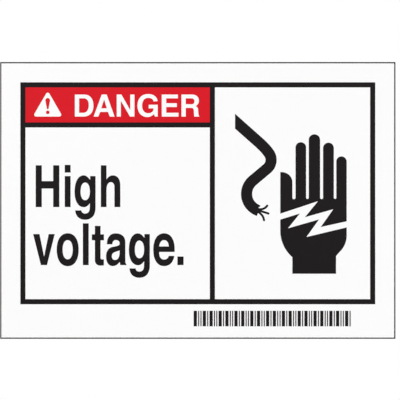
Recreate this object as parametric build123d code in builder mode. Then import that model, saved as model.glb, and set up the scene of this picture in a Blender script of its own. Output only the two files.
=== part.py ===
from build123d import *
import os

# High voltage danger sign: one sheet of white self-adhesive film, printed in red and black.
# Millimetres. The origin is the middle of the sticky back. X runs to the reader's right,
# Z runs up, and the printed face looks towards -Y.

# Film
sheet_width = 127.0
sheet_height = 88.9
sheet_thickness = 0.15
ink_thickness = 0.02
edge_line_width = 0.4

# Frame and its two rails
rule_width = 1.63
frame_side_margin = 6.5
frame_top_margin = 6.5
frame_foot_margin = 11.1
header_height = 11.25

# Alert mark: a bare triangle left in the header's red, with a red stroke and dot in it
triangle_side = 9.58
triangle_corner_radius = 0.62
triangle_left_margin = 2.37
triangle_foot_margin = 1.87
mark_dot_diameter = 1.14
mark_dot_height = 1.36
mark_foot_diameter = 0.62
mark_foot_height = 2.72
mark_head_diameter = 1.48
mark_head_height = 5.22

# Room round the picture in its panel
picture_left_margin = 6.47
picture_right_margin = 7.54
picture_drop = 0.14
wire_to_hand = 14.53

# Hand, with its heights measured from the cut of the wrist. Each finger has a gap before it.
thumb_width = 3.9
thumb_height = 32.65
thumb_radius = 3.35
index_gap = 1.0
index_width = 3.4
index_height = 42.25
middle_gap = 0.85
middle_width = 3.65
middle_height = 44.8
ring_gap = 0.95
ring_width = 3.45
ring_height = 42.1
little_gap = 0.8
little_width = 3.33
little_height = 37.7
palm_height = 24.44
wrist_width = 14.04
wrist_left_height = 5.3
wrist_right_height = 5.7
wrist_left_inset = 3.88
heel_left_height = 13.8
heel_right_height = 12.2
heel_right_radius = 7.0
heel_right_angle = 42.0

# Bolt that parts the hand: its corners from the palm's lower left, across and up.
# The first and last corner of each edge lie on the hand's two sides.
bolt_in_top = 19.3
bolt_in_foot = 17.4
bolt_out_top = 16.85
bolt_out_foot = 14.9
bolt_top_corners = [(12.1, 23.3), (7.9, 18.15), (17.0, 20.7), (13.0, 15.0)]
bolt_foot_corners = [(6.3, 19.35), (2.5, 14.6), (12.45, 17.45), (8.4, 11.8)]

# Broken wire: the jacket's middle line runs down from its upright cut
wire_above_finger = 6.62
jacket_width = 3.58
lead_angle = 41.7
lead_length = 11.05
bend_radius = 17.2
bend_angle = 13.5
elbow_radius = 3.65
elbow_angle = 84.85
run_length = 5.95
hook_radius = 5.64
hook_angle = 121.9

# Torn end: three bare strands fan out of a short core, under a bite in the jacket.
# A strand leaves at its heading and then curls, to the left where the angle is positive.
bite_radius = 0.32
bite_inset = 0.8
core_width = 1.7
core_length = 0.95
strand_width = 0.7
strand_root_depth = 0.3
strand_spacing = 0.28
upper_strand_heading_angle = 5.0
upper_strand_length = 1.0
upper_strand_curl_radius = 2.6
upper_strand_curl_angle = 52.0
middle_strand_heading_angle = -15.5
middle_strand_length = 2.0
middle_strand_curl_radius = 18.0
middle_strand_curl_angle = -5.0
lower_strand_heading_angle = -39.0
lower_strand_length = 1.15
lower_strand_curl_radius = 3.3
lower_strand_curl_angle = -44.0

# Row of bars under the frame: equal groups, each a plain repeat that stands for nothing
bar_height = 5.0
bar_wide = 1.05
bar_thin = 0.36
bar_gap = 0.38
bar_group = [bar_wide, bar_thin, bar_thin, bar_wide, bar_thin]
bar_group_count = 10
bar_drop = 2.1
bar_right_inset = 7.9

# Places that follow from the sizes
face = Plane.XZ.offset(sheet_thickness)
frame_left = -sheet_width / 2 + frame_side_margin
frame_right = sheet_width / 2 - frame_side_margin
frame_top = sheet_height / 2 - frame_top_margin
frame_foot = -sheet_height / 2 + frame_foot_margin
panel_left = frame_left + rule_width
panel_right = frame_right - rule_width
panel_top = frame_top - rule_width
panel_foot = frame_foot + rule_width
header_foot = panel_top - header_height
message_top = header_foot - rule_width

fingers = [
    (index_gap, index_width, index_height),
    (middle_gap, middle_width, middle_height),
    (ring_gap, ring_width, ring_height),
    (little_gap, little_width, little_height),
]
hand_width = thumb_width + sum(gap + width for gap, width, height in fingers)
hand_left = panel_right - picture_right_margin - hand_width
hand_right = hand_left + hand_width
picture_height = middle_height + wire_above_finger
hand_foot = (panel_top + panel_foot - picture_height) / 2 - picture_drop
wire_cut = hand_left - wire_to_hand
divider_right = wire_cut - picture_left_margin
divider_left = divider_right - rule_width


def window(left, foot, right, top, mode=Mode.ADD):
    """A rectangle between two corners, in the sketch that is open."""
    with Locations(((left + right) / 2, (foot + top) / 2)):
        return Rectangle(right - left, top - foot, mode=mode)


# Film: a plain cut sheet
with BuildPart() as sheet:
    with BuildSketch(Plane.XZ):
        Rectangle(sheet_width, sheet_height)
    extrude(amount=sheet_thickness)

# Fine black line along the cut edge
with BuildPart() as edge_line:
    with BuildSketch(face):
        Rectangle(sheet_width, sheet_height)
        inner_width = sheet_width - 2 * edge_line_width
        inner_height = sheet_height - 2 * edge_line_width
        Rectangle(inner_width, inner_height, mode=Mode.SUBTRACT)
    extrude(amount=ink_thickness)

# Heavy frame, with windows for the header, the message and the picture
with BuildPart() as black_frame:
    with BuildSketch(face):
        window(frame_left, frame_foot, frame_right, frame_top)
        window(panel_left, header_foot, divider_left, panel_top, mode=Mode.SUBTRACT)
        window(panel_left, panel_foot, divider_left, message_top, mode=Mode.SUBTRACT)
        window(divider_right, panel_foot, panel_right, panel_top, mode=Mode.SUBTRACT)
    extrude(amount=ink_thickness)

# Bare triangle of the header, with round corners
triangle_middle = panel_left + triangle_left_margin + triangle_side / 2
triangle_foot = header_foot + triangle_foot_margin
triangle_height = triangle_side * 3**0.5 / 2
with BuildSketch() as bare_triangle:
    with BuildLine():
        Polyline(
            (triangle_middle - triangle_side / 2, triangle_foot),
            (triangle_middle + triangle_side / 2, triangle_foot),
            (triangle_middle, triangle_foot + triangle_height),
            close=True,
        )
    make_face()
    fillet(bare_triangle.vertices(), radius=triangle_corner_radius)

# Header: solid red round the triangle
with BuildPart() as header_field:
    with BuildSketch(face):
        window(panel_left, header_foot, divider_left, panel_top)
        add(bare_triangle.sketch, mode=Mode.SUBTRACT)
    extrude(amount=ink_thickness)

# Mark in the triangle: a stroke that narrows downwards, over a dot
with BuildPart() as alert_mark:
    with BuildSketch(face):
        with Locations((triangle_middle, triangle_foot + mark_head_height)):
            Circle(mark_head_diameter / 2)
        with Locations((triangle_middle, triangle_foot + mark_foot_height)):
            Circle(mark_foot_diameter / 2)
        make_hull()
        with Locations((triangle_middle, triangle_foot + mark_dot_height)):
            Circle(mark_dot_diameter / 2)
    extrude(amount=ink_thickness)

# Hand: thumb, palm, four fingers, and the bolt left bare across the palm
wrist_left = hand_left + wrist_left_inset
wrist_right = wrist_left + wrist_width
palm_top = hand_foot + palm_height
bolt_overrun = thumb_width
with BuildPart() as hand_symbol:
    with BuildSketch(face):
        # Thumb: square at its outer corner, round at its inner one
        thumb_root = palm_top - thumb_width
        window(hand_left, thumb_root, hand_left + thumb_width, hand_foot + thumb_height)
        thumb_corner = vertices().group_by(Axis.Y)[-1].sort_by(Axis.X)[-1]
        fillet(thumb_corner, radius=thumb_radius)

        # Palm, drawn in through the heels to the wrist
        with BuildLine():
            wrist = Polyline(
                (wrist_left, hand_foot + wrist_left_height),
                (wrist_left, hand_foot),
                (wrist_right, hand_foot),
                (wrist_right, hand_foot + wrist_right_height),
            )
            heel_start = (hand_right, hand_foot + heel_right_height)
            right_heel = JernArc(heel_start, (0, -1), heel_right_radius, -heel_right_angle)
            Line(right_heel @ 1, wrist @ 1)
            palm = Polyline(
                right_heel @ 0,
                (hand_right, palm_top),
                (hand_left, palm_top),
                (hand_left, hand_foot + heel_left_height),
            )
            TangentArc(palm @ 1, wrist @ 0, tangent=(0, -1))
        make_face()

        # Fingers with round tips, and the round foot of the gap before each
        finger_left = hand_left + thumb_width
        for gap, width, height in fingers:
            with Locations((finger_left + gap / 2, palm_top)):
                Circle(gap / 2, mode=Mode.SUBTRACT)
            finger_left += gap
            root = palm_top - width
            tip = hand_foot + height
            with Locations((finger_left + width / 2, (root + tip) / 2)):
                SlotOverall(tip - root, width, rotation=90)
            finger_left += width

        # Bolt, run out past both sides of the hand
        with BuildLine():
            Polyline(
                (hand_left - bolt_overrun, hand_foot + bolt_in_foot),
                (hand_left - bolt_overrun, hand_foot + bolt_in_top),
                (hand_left, hand_foot + bolt_in_top),
                *[(hand_left + x, hand_foot + z) for x, z in bolt_top_corners],
                (hand_right, hand_foot + bolt_out_top),
                (hand_right + bolt_overrun, hand_foot + bolt_out_top),
                (hand_right + bolt_overrun, hand_foot + bolt_out_foot),
                (hand_right, hand_foot + bolt_out_foot),
                *[(hand_left + x, hand_foot + z) for x, z in reversed(bolt_foot_corners)],
                (hand_left, hand_foot + bolt_in_foot),
                close=True,
            )
        make_face(mode=Mode.SUBTRACT)
    extrude(amount=ink_thickness)

# Wire: a thick jacket along one line of straights and arcs, then its torn end
strands = [
    (
        strand_spacing,
        upper_strand_heading_angle,
        upper_strand_length,
        upper_strand_curl_radius,
        upper_strand_curl_angle,
    ),
    (
        0,
        middle_strand_heading_angle,
        middle_strand_length,
        middle_strand_curl_radius,
        middle_strand_curl_angle,
    ),
    (
        -strand_spacing,
        lower_strand_heading_angle,
        lower_strand_length,
        lower_strand_curl_radius,
        lower_strand_curl_angle,
    ),
]
half_jacket = jacket_width / 2
picture_top = hand_foot + picture_height
lead_overrun = jacket_width
lead_direction = Vector(1, 0).rotate(Axis.Z, -lead_angle)
cut_middle = Vector(wire_cut, picture_top - half_jacket / lead_direction.X)
with BuildPart() as wire_symbol:
    with BuildSketch(face):
        with BuildLine():
            lead = PolarLine(
                cut_middle - lead_overrun * lead_direction,
                lead_overrun + lead_length,
                -lead_angle,
            )
            bend = JernArc(lead @ 1, lead % 1, bend_radius, -bend_angle)
            elbow = JernArc(bend @ 1, bend % 1, elbow_radius, -elbow_angle)
            run = Line(elbow @ 1, elbow @ 1 + run_length * (elbow % 1))
            hook = JernArc(run @ 1, run % 1, hook_radius, hook_angle)
        trace(line_width=jacket_width)

        # The cut end stands upright
        with Locations(cut_middle):
            cut_size = 4 * lead_overrun
            Rectangle(cut_size, cut_size, align=(Align.MAX, Align.CENTER), mode=Mode.SUBTRACT)

        # Torn end: a bite above the core
        end = hook @ 1
        along = hook % 1
        across = along.rotate(Axis.Z, 90)
        with Locations(end + (half_jacket - bite_inset) * across):
            Circle(bite_radius, mode=Mode.SUBTRACT)
        with BuildLine():
            Polyline(
                end - core_width / 2 * across - bite_radius * along,
                end - core_width / 2 * across,
                end + core_length * along,
                end + core_width / 2 * across,
                end + core_width / 2 * across - bite_radius * along,
                close=True,
            )
        make_face()

        # Bare strands, curling apart
        root = end - strand_root_depth * along
        for offset, heading, length, curl_radius, curl_angle in strands:
            with BuildLine(mode=Mode.PRIVATE) as strand:
                shank = PolarLine(root + offset * across, length, heading)
                JernArc(shank @ 1, shank % 1, curl_radius, curl_angle)
            SlotArc(strand.wire(), strand_width)
    extrude(amount=ink_thickness)

# Bars in equal groups under the frame
bars_right = frame_right - bar_right_inset
bars_top = frame_foot - bar_drop
bars_foot = bars_top - bar_height
group_pitch = sum(bar_group) + len(bar_group) * bar_gap
bars_left = bars_right - bar_group_count * group_pitch + bar_gap
with BuildPart() as bar_row:
    with BuildSketch(face):
        for group in range(bar_group_count):
            bar_left = bars_left + group * group_pitch
            for width in bar_group:
                window(bar_left, bars_foot, bar_left + width, bars_top)
                bar_left += width + bar_gap
    extrude(amount=ink_thickness)

sheet.part.label = "sheet"
edge_line.part.label = "edge_line"
black_frame.part.label = "black_frame"
header_field.part.label = "header_field"
alert_mark.part.label = "alert_mark"
hand_symbol.part.label = "hand_symbol"
wire_symbol.part.label = "wire_symbol"
bar_row.part.label = "bar_row"

os.makedirs("parts", exist_ok=True)
for piece in (sheet, edge_line, black_frame, header_field, alert_mark, hand_symbol, wire_symbol, bar_row):
    export_step(piece.part, f"parts/{piece.part.label}.step")
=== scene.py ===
"""Looks of the high voltage danger sign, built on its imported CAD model, in metres."""
import math

import bpy
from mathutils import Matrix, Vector


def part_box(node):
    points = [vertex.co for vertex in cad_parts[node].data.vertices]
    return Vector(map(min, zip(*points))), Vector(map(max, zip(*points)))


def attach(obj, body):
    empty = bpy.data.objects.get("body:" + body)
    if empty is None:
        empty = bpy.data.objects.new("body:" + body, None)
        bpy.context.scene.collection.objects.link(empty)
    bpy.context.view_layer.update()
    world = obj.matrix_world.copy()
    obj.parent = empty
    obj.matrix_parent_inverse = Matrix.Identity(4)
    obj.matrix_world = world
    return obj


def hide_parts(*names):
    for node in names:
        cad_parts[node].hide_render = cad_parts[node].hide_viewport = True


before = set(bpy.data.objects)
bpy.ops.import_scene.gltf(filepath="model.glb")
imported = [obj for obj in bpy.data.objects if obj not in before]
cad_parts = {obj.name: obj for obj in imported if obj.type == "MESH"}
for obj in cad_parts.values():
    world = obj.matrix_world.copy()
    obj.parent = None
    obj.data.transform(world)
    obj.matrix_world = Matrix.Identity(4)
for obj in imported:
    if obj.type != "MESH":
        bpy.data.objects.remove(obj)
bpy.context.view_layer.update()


# Film sheet. One rectangle of white vinyl film, cut square and satin on its printed face. It is held
# by a layer of pressure-sensitive adhesive over its whole back, which was coated in faint streaks.
MM = 0.001
FILM_WHITE = (0.96, 0.96, 0.96, 1)
FILM_SHADE = (0.95, 0.95, 0.947, 1)
FILM_CLOUD = 6 * MM
FILM_ROUGHNESS = 0.3
FILM_DULLING = 0.08
FILM_DULL_SPOT = 2 * MM
ORANGE_PEEL = 0.7 * MM
ORANGE_PEEL_DEPTH = 0.004 * MM
ADHESIVE_THIN = (0.82, 0.81, 0.77, 1)
ADHESIVE_THICK = (0.71, 0.69, 0.62, 1)
ADHESIVE_CLOUD = 12 * MM
ADHESIVE_STREAK = 2.5 * MM
STREAK_STRETCH = (60, 1, 1)
STREAK_SHARE = 0.75
ADHESIVE_GLOSS = 0.1
ADHESIVE_THICKNESS = 0.03 * MM


class Output:
    """What one shader node gives. Sums and products of it and of numbers add Math nodes."""

    def __init__(self, shading, socket):
        self.shading = shading
        self.socket = socket

    def __add__(self, other):
        return self.shading.maths("ADD", self, other)

    def __sub__(self, other):
        return self.shading.maths("SUBTRACT", self, other)

    def __rsub__(self, other):
        return self.shading.maths("SUBTRACT", other, self)

    def __mul__(self, other):
        return self.shading.maths("MULTIPLY", self, other)

    def __gt__(self, other):
        return self.shading.maths("GREATER_THAN", self, other)

    __radd__ = __add__
    __rmul__ = __mul__


class Shading:
    """The shader nodes of a material, or of the room round the sign."""

    def __init__(self, owner):
        owner.use_nodes = True
        self.nodes = owner.node_tree.nodes
        self.links = owner.node_tree.links

    def join(self, value, socket):
        """Puts a number or colour on a socket, or links another node's output to it."""
        if isinstance(value, Output):
            self.links.new(value.socket, socket)
        else:
            socket.default_value = value

    def node(self, kind, settings=(), sockets=(), gives=0):
        """Adds a node, gives it its settings, and then its sockets' values or links."""
        made = self.nodes.new(kind)
        for name, value in dict(settings).items():
            setattr(made, name, value)
        for name, value in dict(sockets).items():
            self.join(value, made.inputs[name])
        return Output(self, made.outputs[gives])

    def maths(self, operation, first, second):
        return self.node("ShaderNodeMath", {"operation": operation}, {0: first, 1: second})


class Finish(Shading):
    """The finish of a surface: a Principled shader, and the nodes that vary it."""

    def __init__(self, name):
        self.material = bpy.data.materials.new(name)
        super().__init__(self.material)
        self.shader = self.nodes["Principled BSDF"]

    def place(self):
        """Where a point is, in metres from the middle of the sign's back."""
        return self.node("ShaderNodeTexCoord", gives="Object")

    def along(self, axis):
        return self.node("ShaderNodeSeparateXYZ", sockets={"Vector": self.place()}, gives=axis)

    def mottle(self, grain, detail=2, stretch=(1, 1, 1)):
        """Soft noise from 0 to 1. Its blots are about a grain across, times the stretch each way."""
        drawn_in = self.node(
            "ShaderNodeVectorMath",
            {"operation": "DIVIDE"},
            {0: self.place(), 1: stretch},
        )
        return self.node(
            "ShaderNodeTexNoise",
            sockets={"Vector": drawn_in, "Scale": 1 / grain, "Detail": detail},
        )

    def blend(self, share, first, second):
        """The first colour where share is 0, and the second where it is 1. A Mix node takes colours
        on its sockets 6 and 7, and gives one on its socket 2."""
        return self.node(
            "ShaderNodeMix",
            {"data_type": "RGBA"},
            {"Factor": share, 6: first, 7: second},
            gives=2,
        )

    def relief(self, height, depth):
        """A surface that rises by depth where height is 1."""
        return self.node("ShaderNodeBump", sockets={"Height": height, "Distance": depth})

    def surface(self, **sockets):
        """Sets the shader's sockets, named with underscores for spaces."""
        for name, value in sockets.items():
            self.join(value, self.shader.inputs[name.replace("_", " ")])

    def cover(self, *nodes):
        """Puts this finish on CAD nodes."""
        for name in nodes:
            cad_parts[name].material_slots[0].material = self.material


white_film = Finish("white_film")
on_back = white_film.along("Y") > -ADHESIVE_THICKNESS
film_colour = white_film.blend(white_film.mottle(FILM_CLOUD), FILM_WHITE, FILM_SHADE)
streaks = white_film.mottle(ADHESIVE_STREAK, detail=3, stretch=STREAK_STRETCH)
coating = STREAK_SHARE * streaks + (1 - STREAK_SHARE) * white_film.mottle(ADHESIVE_CLOUD)
adhesive_colour = white_film.blend(coating, ADHESIVE_THIN, ADHESIVE_THICK)
dulled = FILM_DULLING * white_film.mottle(FILM_DULL_SPOT)
peel = white_film.mottle(ORANGE_PEEL)
white_film.surface(
    Base_Color=white_film.blend(on_back, film_colour, adhesive_colour),
    Roughness=FILM_ROUGHNESS + dulled - ADHESIVE_GLOSS * on_back,
    Specular_IOR_Level=0.3,
    Normal=white_film.relief(peel + on_back * peel, ORANGE_PEEL_DEPTH),
)
white_film.cover("sheet")


# Black print. Solid black ink, screen printed in one pass, satin. It makes the fine line round the
# cut edge, the heavy frame with its divider, the shocked hand, the broken wire and the row of bars.
INK_BLACK = (0.0055, 0.0035, 0.0042, 1)
INK_BLACK_THIN = (0.0085, 0.006, 0.0065, 1)
INK_CLOUD = 3 * MM
INK_ROUGHNESS = 0.4
INK_DULLING = 0.1
INK_DULL_SPOT = 1.5 * MM
INK_GRAIN = 0.5 * MM
INK_RELIEF = 0.002 * MM


def printing_ink(name, full, thin):
    """Satin ink whose colour varies with how thick it lies, over the grain of the screen."""
    finish = Finish(name)
    finish.surface(
        Base_Color=finish.blend(finish.mottle(INK_CLOUD, detail=4), full, thin),
        Roughness=INK_ROUGHNESS + INK_DULLING * finish.mottle(INK_DULL_SPOT),
        Specular_IOR_Level=0.1,
        Normal=finish.relief(finish.mottle(INK_GRAIN, detail=3), INK_RELIEF),
    )
    return finish


black_ink = printing_ink("black_ink", INK_BLACK, INK_BLACK_THIN)
black_ink.cover("edge_line", "black_frame", "hand_symbol", "wire_symbol", "bar_row")


# Red print. Solid safety red in a pass of its own. The header is one red field from which the alert
# triangle and the signal word are left out, so that the white film shows. The mark is red again.
# Outlines are in millimetres, and the letters are placed from the field's lower left corner.
INK_RED = (0.665, 0.006, 0.014, 1)
INK_RED_THIN = (0.695, 0.01, 0.021, 1)
TRIANGLE_SIDE = 9.58
TRIANGLE_CORNER = 0.62
TRIANGLE_FOOT = 1.87
SIGNAL_FOOT = 1.87
CAPITAL = 7.08
STEM = 1.38
ARM = 1.22
OVERSHOOT = 0.16
SQUARENESS = 1.12
STRAIGHT_TURN = 0.001
SLIGHT_TURN = 0.05
MERGE_DISTANCE = 0.001 * MM

red_ink = printing_ink("red_ink", INK_RED, INK_RED_THIN)
red_ink.cover("alert_mark")

field_low, field_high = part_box("header_field")
printed_face, ink_face = field_high.y, field_low.y
field_left, field_foot = field_low.x / MM, field_low.z / MM
field_width, field_height = (field_high.x - field_low.x) / MM, (field_high.z - field_low.z) / MM


def direction(heading):
    """Unit vector of a heading in degrees: 0 is to the reader's right, 90 is up."""
    return Vector((math.cos(math.radians(heading)), math.sin(math.radians(heading))))


def headings(point):
    """The headings into and out of an outline's point, where None stands for a straight side."""
    given = point[2:] or (None,)
    return given[0], given[-1]


def handles(start, leaving, end, arriving, squareness):
    """Bezier handles of a bend. They reach for where its ends' tangents cross, as far as they
    would for a circle's arc, times the squareness. Ends that don't cross get a third of the run."""
    run = end - start
    out, back = direction(leaving), direction(arriving)
    turn = abs(out.angle_signed(back, 0))
    reach = [run.length / 3, run.length / 3]
    if math.sin(turn) > SLIGHT_TURN:
        share = squareness * 4 / 3 * math.tan(turn / 4) / math.tan(turn / 2)
        crossing = [run.cross(back) / out.cross(back), out.cross(run) / out.cross(back)]
        if min(crossing) > 0:
            reach = [share * way for way in crossing]
    return start + reach[0] * out, end - reach[1] * back


def draw(curve, outline, left, foot, squareness=SQUARENESS):
    """Adds a closed outline to a curve. Its points are (x, z) at a plain corner, (x, z, heading)
    on a bend, and (x, z, heading in, heading out) at a corner with a bend on one or both sides."""
    places = [Vector((left + point[0], foot + point[1])) for point in outline]
    spline = curve.splines.new("BEZIER")
    spline.bezier_points.add(len(outline) - 1)
    spline.use_cyclic_u = True
    points = spline.bezier_points
    for point, place in zip(points, places):
        point.co = (*place * MM, 0)
        point.handle_left_type = point.handle_right_type = "VECTOR"
    for i, place in enumerate(places):
        after = (i + 1) % len(places)
        run = places[after] - place
        straight = math.degrees(math.atan2(run.y, run.x))
        leaving, arriving = headings(outline[i])[1], headings(outline[after])[0]
        ways = [straight if way is None else way for way in (leaving, arriving)]
        if max(direction(way).angle(run) for way in ways) < STRAIGHT_TURN:
            continue
        near, far = handles(place, ways[0], places[after], ways[1], squareness)
        if leaving is not None:
            points[i].handle_right_type = "FREE"
            points[i].handle_right = (*near * MM, 0)
        if arriving is not None:
            points[after].handle_left_type = "FREE"
            points[after].handle_left = (*far * MM, 0)


def print_figure(name, curve):
    """Makes a flat curve a mesh of ink that stands on the film's printed face."""
    curve.dimensions = "2D"
    curve.fill_mode = "BOTH"
    curve.extrude = (printed_face - ink_face) / 2
    figure = bpy.data.objects.new(name, curve)
    bpy.context.collection.objects.link(figure)
    figure.location.y = (printed_face + ink_face) / 2
    figure.rotation_euler.x = math.radians(90)
    bpy.ops.object.select_all(action="DESELECT")
    figure.select_set(True)
    bpy.context.view_layer.objects.active = figure
    bpy.ops.object.convert(target="MESH")
    bpy.ops.object.transform_apply(location=True, rotation=True, scale=True)
    bpy.ops.object.mode_set(mode="EDIT")
    bpy.ops.mesh.select_all(action="SELECT")
    bpy.ops.mesh.remove_doubles(threshold=MERGE_DISTANCE)
    bpy.ops.mesh.normals_make_consistent(inside=False)
    bpy.ops.object.mode_set(mode="OBJECT")
    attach(figure, "root")
    return figure


SIGNAL_LETTERS = {
    "D": [
        [(0, 0), (0, CAPITAL), (3.05, CAPITAL, 0), (5.98, CAPITAL / 2, -90), (2.85, 0, 180)],
        [
            (STEM, ARM),
            (STEM, CAPITAL - ARM),
            (2.95, CAPITAL - ARM, 0),
            (4.47, 3.7, -90),
            (2.75, ARM, 180),
        ],
    ],
    "A": [
        [
            (0, 0),
            (2.6, CAPITAL),
            (4.2, CAPITAL),
            (6.72, 0),
            (5.18, 0),
            (4.62, 1.48),
            (2.12, 1.48),
            (1.52, 0),
        ],
        [(2.46, 2.67), (4.25, 2.67), (3.37, 5.5)],
    ],
    "N": [
        [
            (0, 0),
            (0, CAPITAL),
            (1.49, CAPITAL),
            (4.34, 2.1),
            (4.34, CAPITAL),
            (5.69, CAPITAL),
            (5.69, 0),
            (4.25, 0),
            (1.32, 5.05),
            (1.32, 0),
        ],
    ],
    "G": [
        [
            (5.3, 0.8, None, 222),
            (3.25, -OVERSHOOT, 180),
            (0, CAPITAL / 2, 90),
            (3.4, CAPITAL + OVERSHOOT, 0),
            (6.5, 4.98, -80, None),
            (5.17, 4.85, None, 100),
            (3.42, 6, 180),
            (1.5, CAPITAL / 2, -90),
            (3.42, 1.08, 0),
            (5.17, 2.62, 90, None),
            (3.61, 2.62),
            (3.61, 3.8),
            (6.51, 3.8),
            (6.51, 0),
            (5.63, 0),
        ],
    ],
    "E": [
        [
            (0, 0),
            (0, CAPITAL),
            (5.2, CAPITAL),
            (5.2, CAPITAL - ARM),
            (1.44, CAPITAL - ARM),
            (1.44, 3.08 + ARM),
            (4.86, 3.08 + ARM),
            (4.86, 3.08),
            (1.44, 3.08),
            (1.44, ARM),
            (5.38, ARM),
            (5.38, 0),
        ],
    ],
    "R": [
        [
            (0, 0),
            (0, CAPITAL),
            (3.35, CAPITAL, 0),
            (5.6, 5.1, -90),
            (4.6, 3.38, 215, -35),
            (5.37, 2.2, -90),
            (5.45, 0.9, -85),
            (5.7, 0),
            (4.1, 0),
            (3.97, 1.7, 90),
            (3.25, 2.78, 180),
            (STEM, 2.78),
            (STEM, 0),
        ],
        [(STEM, 3.97), (STEM, 5.85), (3.25, 5.85, 0), (4.17, 4.93, -90), (3.35, 3.97, 180)],
    ],
}
SIGNAL_WORD = [("D", 15.87), ("A", 21.9), ("N", 29.33), ("G", 35.99), ("E", 43.79), ("R", 50.13)]

header = bpy.data.curves.new("header_print", "CURVE")
field = [(0, 0), (0, field_height), (field_width, field_height), (field_width, 0)]
draw(header, field, field_left, field_foot)

mark_low, mark_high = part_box("alert_mark")
triangle_middle = (mark_low.x + mark_high.x) / 2 / MM
corners = [
    Vector((-TRIANGLE_SIDE / 2, 0)),
    Vector((0, TRIANGLE_SIDE * math.sin(math.radians(60)))),
    Vector((TRIANGLE_SIDE / 2, 0)),
]
corner_run = TRIANGLE_CORNER * math.tan(math.radians(60))
triangle = []
for corner, heading in zip(corners, (180, 60, -60)):
    triangle.append((*corner - corner_run * direction(heading), heading))
    triangle.append((*corner + corner_run * direction(heading - 120), heading - 120))
draw(header, triangle, triangle_middle, field_foot + TRIANGLE_FOOT, squareness=1)

for letter, start in SIGNAL_WORD:
    for outline in SIGNAL_LETTERS[letter]:
        draw(header, outline, field_left + start, field_foot + SIGNAL_FOOT)
header_print = print_figure("header_print", header)
header_print.data.materials.append(red_ink.material)
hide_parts("header_field")


# Message. Two words printed with the frame in its black ink, one above the other, in plain bold
# letters of the narrow kind that safety signs have. Both lines are measured down from the header.
TALL = 13.42
SMALL = 9.96
BEAM = 1.87
FIRST_LINE = 27.2
SECOND_LINE = 45.84

MESSAGE_LETTERS = {
    "H": [
        [
            (0, 0),
            (0, TALL),
            (1.96, TALL),
            (1.96, 8.34),
            (5.63, 8.34),
            (5.63, TALL),
            (7.6, TALL),
            (7.6, 0),
            (5.63, 0),
            (5.63, 5.95),
            (1.96, 5.95),
            (1.96, 0),
        ],
    ],
    "i": [
        [(0, 0), (0, SMALL), (BEAM, SMALL), (BEAM, 0)],
        [(0, 11.08), (0, 13.55), (BEAM, 13.55), (BEAM, 11.08)],
    ],
    "g": [
        [
            (6.73, SMALL),
            (5, SMALL),
            (5, 8.75, None, 128),
            (2.95, 10.2, 180),
            (0, 4.9, -90),
            (3, -0.05, 0),
            (4.93, 1.25, 52, None),
            (4.86, -0.4, -90),
            (3.35, -2.08, 180),
            (2.17, -1.07, 95, None),
            (0.18, -1.07, None, -85),
            (3.36, -4.07, 0),
            (6.73, -0.3, 90),
        ],
        [(3.4, 7.88, 0), (4.9, 4.95, -90), (3.4, 2.2, 180), (1.92, 4.95, 90)],
    ],
    "h": [
        [
            (0, 0),
            (0, TALL),
            (1.81, TALL),
            (1.81, 8.85, None, 57),
            (3.88, 10.2, 0),
            (6.25, 6.9, -90),
            (6.25, 0),
            (4.36, 0),
            (4.36, 6.4, 90),
            (3.15, 8, 180),
            (1.81, 5.5, -90),
            (1.81, 0),
        ],
    ],
    "v": [
        [
            (0, SMALL),
            (2.04, SMALL),
            (3.52, 2.7),
            (4.99, SMALL),
            (6.94, SMALL),
            (4.45, 0),
            (2.5, 0),
        ],
    ],
    "o": [
        [(3.54, 10.24, 0), (7.07, 4.97, -90), (3.54, -0.37, 180), (0, 4.97, 90)],
        [(3.52, 8.02, 0), (5.15, 4.97, -90), (3.52, 1.88, 180), (1.9, 4.97, 90)],
    ],
    "l": [
        [(0, 0), (0, TALL), (BEAM, TALL), (BEAM, 0)],
    ],
    "t": [
        [
            (0.98, 12.6),
            (2.8, 12.6),
            (2.8, 9.87),
            (3.88, 9.87),
            (3.88, 7.97),
            (2.8, 7.97),
            (2.8, 2.3, -90),
            (3.3, 1.82, 0),
            (3.88, 1.82),
            (3.88, -0.08),
            (2.85, -0.18, 180),
            (0.98, 1.55, 90),
            (0.98, 7.97),
            (0, 7.97),
            (0, 9.87),
            (0.98, 9.87),
        ],
    ],
    "a": [
        [
            (0.25, 6.69, None, 87),
            (0.57, 8.55, 66),
            (3.15, 10.2, 0),
            (6.19, 7.3, -90),
            (6.19, 1.1, -90),
            (6.6, 0),
            (4.55, 0),
            (4.38, 1, None, 230),
            (2.15, -0.32, 180),
            (0, 2.75, 90),
            (2.2, 5.86, 11),
            (3.67, 6.17, 22),
            (4.35, 6.95, 90),
            (3.1, 8.05, 180),
            (1.98, 6.69, -97, None),
        ],
        [
            (4.34, 4.7, None, -90),
            (4.24, 3.05, -103),
            (2.85, 1.64, 180),
            (1.83, 2.85, 90),
            (2.9, 4.21, 18),
        ],
    ],
    "e": [
        [
            (6.88, 4.23),
            (6.88, 5.25, 90),
            (3.46, 10.22, 180),
            (0, 4.95, -90),
            (3.44, -0.33, 0),
            (6.79, 2.95, 80, None),
            (4.97, 2.95, None, 255),
            (3.45, 1.79, 180),
            (1.91, 4, 90),
            (1.91, 4.23),
        ],
        [(1.93, 5.98, None, 85), (3.47, 8.02, 0), (5, 5.98, -86, None)],
    ],
    ".": [
        [(0, 0), (0, 2.75), (1.98, 2.75), (1.98, 0)],
    ],
}
FIRST_WORD = [("H", 3.29), ("i", 12.63), ("g", 15.79), ("h", 24.23)]
SECOND_WORD = [
    ("v", 2.47),
    ("o", 10.04),
    ("l", 18.45),
    ("t", 21.33),
    ("a", 25.91),
    ("g", 33.22),
    ("e", 41.06),
    (".", 48.82),
]

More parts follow.
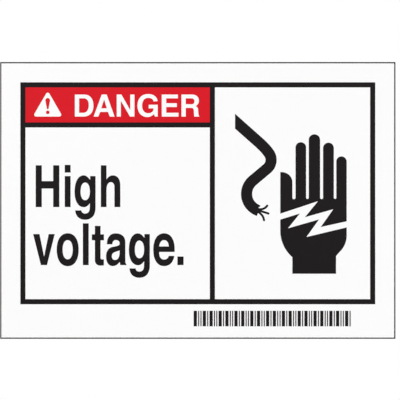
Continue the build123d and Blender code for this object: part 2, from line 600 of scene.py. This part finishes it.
message = bpy.data.curves.new("message_print", "CURVE")
for word, line in ((FIRST_WORD, FIRST_LINE), (SECOND_WORD, SECOND_LINE)):
    for letter, start in word:
        for outline in MESSAGE_LETTERS[letter]:
            draw(message, outline, field_left + start, field_foot - line)
message_print = print_figure("message_print", message)
message_print.data.materials.append(black_ink.material)


# Floor. A pale disc well under the sign, which is meant to be stuck on something upright and so
# stands over it. Its rim fades into the white round about, and its middle keeps the sign's shadow.
FLOOR_DEPTH = 120 * MM
FLOOR_RADIUS = 300 * MM
RIM_SIDES = 96
FLOOR_PALE = (0.86, 0.86, 0.86, 1)
WHITE = (1, 1, 1, 1)

bpy.ops.object.select_all(action="DESELECT")
bpy.ops.mesh.primitive_circle_add(
    vertices=RIM_SIDES,
    radius=FLOOR_RADIUS,
    fill_type="NGON",
    location=(0, 0, -FLOOR_DEPTH),
)
bpy.ops.object.transform_apply(location=True, rotation=True, scale=True)
floor = bpy.context.object
floor.name = "floor"


def looked_at(shading):
    """1 where the eye looks, also by reflection or through something clear. Light gets 0."""
    straight = shading.node("ShaderNodeLightPath", gives="Is Camera Ray")
    reflected = shading.node("ShaderNodeLightPath", gives="Is Glossy Ray")
    let_through = shading.node("ShaderNodeLightPath", gives="Is Transmission Ray")
    return shading.maths("MAXIMUM", straight, shading.maths("MAXIMUM", reflected, let_through))


pale_floor = Finish("pale_floor")
pale_floor.surface(Base_Color=FLOOR_PALE, Roughness=0.9, Specular_IOR_Level=0.1)
out_x = pale_floor.along("X") * (1 / FLOOR_RADIUS)
out_y = pale_floor.along("Y") * (1 / FLOOR_RADIUS)
fading = (out_x * out_x + out_y * out_y) * looked_at(pale_floor)
matt = Output(pale_floor, pale_floor.shader.outputs["BSDF"])
glow = pale_floor.node("ShaderNodeEmission", sockets={"Color": WHITE, "Strength": 1})
faded = pale_floor.node("ShaderNodeMixShader", sockets={0: fading, 1: matt, 2: glow})
pale_floor.join(faded, pale_floor.nodes["Material Output"].inputs["Surface"])
floor.data.materials.append(pale_floor.material)


# Light. A white studio: an even glow from all round, a large soft lamp high on the reader's left,
# a weaker one low on the right, and one behind that shows the back of the film.
ROOM_GLOW = 0.55
LAMP_WIDTH = 500 * MM
LAMPS = [
    ("key_light", (-420 * MM, -760 * MM, 420 * MM), 3.05),
    ("fill_light", (520 * MM, -760 * MM, 60 * MM), 1.7),
    ("back_light", (300 * MM, 700 * MM, 420 * MM), 3),
]

world = bpy.data.worlds.new("studio")
bpy.context.scene.world = world
room = Shading(world)
walls = room.nodes["Background"]
room.join(WHITE, walls.inputs["Color"])
room.join(ROOM_GLOW + (1 - ROOM_GLOW) * looked_at(room), walls.inputs["Strength"])

for name, place, watts in LAMPS:
    bpy.ops.object.light_add(type="AREA", location=place)
    lamp = bpy.context.object
    lamp.name = name
    lamp.data.shape = "DISK"
    lamp.data.size = LAMP_WIDTH
    lamp.data.energy = watts
    lamp.rotation_mode = "QUATERNION"
    lamp.rotation_quaternion = (-Vector(place)).to_track_quat("-Z", "Y")


# Camera. Square on to the printed face, with a long lens. The view is 128.5 mm across at the ink,
# which puts the sign in the frame as the photograph has it.
VIEW_WIDTH = 128.5 * MM
VIEW_RIGHT = 0.71 * MM
VIEW_UP = 0.14 * MM
LENS = 100
SENSOR = 36
NEAREST_SEEN = 10 * MM

distance = VIEW_WIDTH * LENS / SENSOR
bpy.ops.object.camera_add(
    location=(VIEW_RIGHT, ink_face - distance, VIEW_UP),
    rotation=(math.radians(90), 0, 0),
)
camera = bpy.context.object
camera.data.lens = LENS
camera.data.sensor_width = SENSOR
camera.data.clip_start = NEAREST_SEEN
bpy.context.scene.camera = camera
bpy.context.scene.view_settings.view_transform = "Standard"
